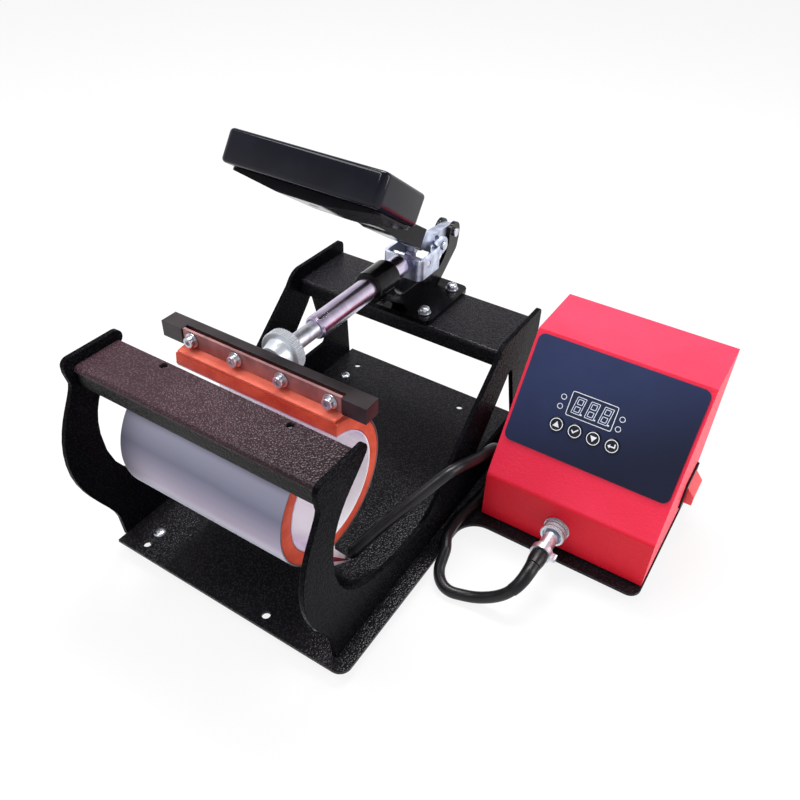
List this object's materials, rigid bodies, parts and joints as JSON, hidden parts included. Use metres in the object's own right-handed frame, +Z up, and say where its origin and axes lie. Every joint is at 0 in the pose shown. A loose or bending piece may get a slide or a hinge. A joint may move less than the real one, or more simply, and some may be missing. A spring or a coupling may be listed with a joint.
{
  "type": "tumbler heat press",
  "caption": "Toggle-closed heat press with a wrap heater for tumblers between two side plates, and its control box on one base plate.",
  "frame": {"origin": "middle of the underside of everything but the cable, at table height", "axes": "+X along the heater towards the control box, +Y from the front to the rear, +Z up"},
  "size_m": [0.3898, 0.3676, 0.3221],
  "materials": {
    "frame_black": "hammered black powder coat",
    "sleeve_steel": "satin rolled steel",
    "silicone_orange": "matt moulded silicone",
    "liner_grey": "smooth coated silicone",
    "bar_black": "satin black",
    "strip_steel": "bright sheet steel",
    "zinc": "bright zinc plate",
    "chrome": "polished chrome",
    "casting_black": "gloss black on cast iron",
    "lever_zinc": "zinc-plated casting",
    "grip_gloss": "gloss black moulding",
    "box_red": "red powder coat",
    "panel_navy": "printed gloss film",
    "display_dark": "dark window",
    "key_navy": "gloss film key",
    "rocker_red": "translucent red",
    "plastic_black": "satin black",
    "cable_black": "semi-gloss sheath",
    "board_green": "solder mask",
    "foot_rubber": "matt rubber"
  },
  "bodies": {
    "frame": {"base_plate": "frame_black", "side_plate_left": "frame_black", "side_plate_right": "frame_black", "front_crossbar": "frame_black", "rear_crossbar": "frame_black", "heater_sleeve": "sleeve_steel", "heater_mat": "silicone_orange", "heater_liner": "liner_grey", "front_clamp_strip": "bar_black", "front_strip_screw_1": "zinc", "front_strip_screw_2": "zinc", "toggle_base": "casting_black", "control_cover": "box_red", "control_pan": "frame_black", "panel_overlay": "panel_navy", "display_window": "display_dark", "rocker_bezel": "plastic_black", "panel_socket": "zinc", "plug_body": "zinc", "plug_relief": "plastic_black", "heater_cable": "cable_black", "heater_terminal": "silicone_orange", "power_inlet": "plastic_black", "control_board": "board_green", "toggle_bolt_1": "zinc", "foot_1": "foot_rubber", "foot_screw_1": "zinc", "toggle_bolt_2": "zinc", "foot_2": "foot_rubber", "foot_screw_2": "zinc", "toggle_bolt_3": "zinc", "foot_3": "foot_rubber", "foot_screw_3": "zinc", "toggle_bolt_4": "zinc", "foot_4": "foot_rubber", "foot_screw_4": "zinc"},
    "lever": {"toggle_lever": "lever_zinc", "handle_grip": "grip_gloss", "handle_cover": "grip_gloss", "handle_screw": "zinc", "lever_pin": "zinc"},
    "plunger_unit": {"plunger": "chrome", "spindle": "zinc", "clamp_bar": "bar_black", "clamp_strip": "strip_steel", "heater_rear_tab": "silicone_orange", "tail_pin": "zinc", "clamp_screw_1": "zinc", "clamp_screw_2": "zinc", "clamp_screw_3": "zinc", "clamp_screw_4": "zinc"},
    "yoke": {"toggle_yoke": "lever_zinc", "yoke_pin": "zinc"},
    "knob": {"adjuster_knob": "zinc"},
    "key_body_1": {"key_1": "key_navy"},
    "key_body_2": {"key_2": "key_navy"},
    "key_body_3": {"key_3": "key_navy"},
    "key_body_4": {"key_4": "key_navy"},
    "rocker": {"rocker_button": "rocker_red"},
    "coupling_nut": {"plug_ring": "chrome"}
  },
  "joints": [
    {"name": "toggle_hinge", "type": "hinge", "parent": "frame", "child": "lever", "pos_m": [-0.08618, 0.17425, 0.1847], "axis": [-1, 0, 0], "range_deg": [0, 55]},
    {"name": "plunger_slide", "type": "slide", "parent": "frame", "child": "plunger_unit", "axis": [0, 1, 0], "range_m": [0, 0.0177]},
    {"name": "yoke_pivot", "type": "hinge", "parent": "plunger_unit", "child": "yoke", "pos_m": [-0.08618, 0.10925, 0.1847], "axis": [1, 0, 0], "range_deg": [0, 41.5]},
    {"name": "knob_spin", "type": "hinge", "parent": "plunger_unit", "child": "knob", "pos_m": [-0.08618, -0.06575, 0.1847], "axis": [0, 1, 0], "continuous": true},
    {"name": "rocker_hinge", "type": "hinge", "parent": "frame", "child": "rocker", "pos_m": [0.18593, 0.13525, 0.041], "axis": [0, 1, 0], "range_deg": [0, 20]},
    {"name": "coupling_spin", "type": "hinge", "parent": "frame", "child": "coupling_nut", "pos_m": [0.11042, 0.02625, 0.0351], "axis": [0, 1, 0], "continuous": true},
    {"name": "key_press_1", "type": "slide", "parent": "frame", "child": "key_body_1", "axis": [0, 0.8526, -0.5226], "range_m": [0, 0.0004], "stiffness_N_per_m": 500},
    {"name": "key_press_2", "type": "slide", "parent": "frame", "child": "key_body_2", "axis": [0, 0.8526, -0.5226], "range_m": [0, 0.0004], "stiffness_N_per_m": 500},
    {"name": "key_press_3", "type": "slide", "parent": "frame", "child": "key_body_3", "axis": [0, 0.8526, -0.5226], "range_m": [0, 0.0004], "stiffness_N_per_m": 500},
    {"name": "key_press_4", "type": "slide", "parent": "frame", "child": "key_body_4", "axis": [0, 0.8526, -0.5226], "range_m": [0, 0.0004], "stiffness_N_per_m": 500}
  ],
  "couplings": [
    {"joint": "plunger_slide", "follows": "toggle_hinge", "m_per_rad": 0.018335},
    {"joint": "yoke_pivot", "follows": "toggle_hinge", "ratio": 0.75}
  ]
}
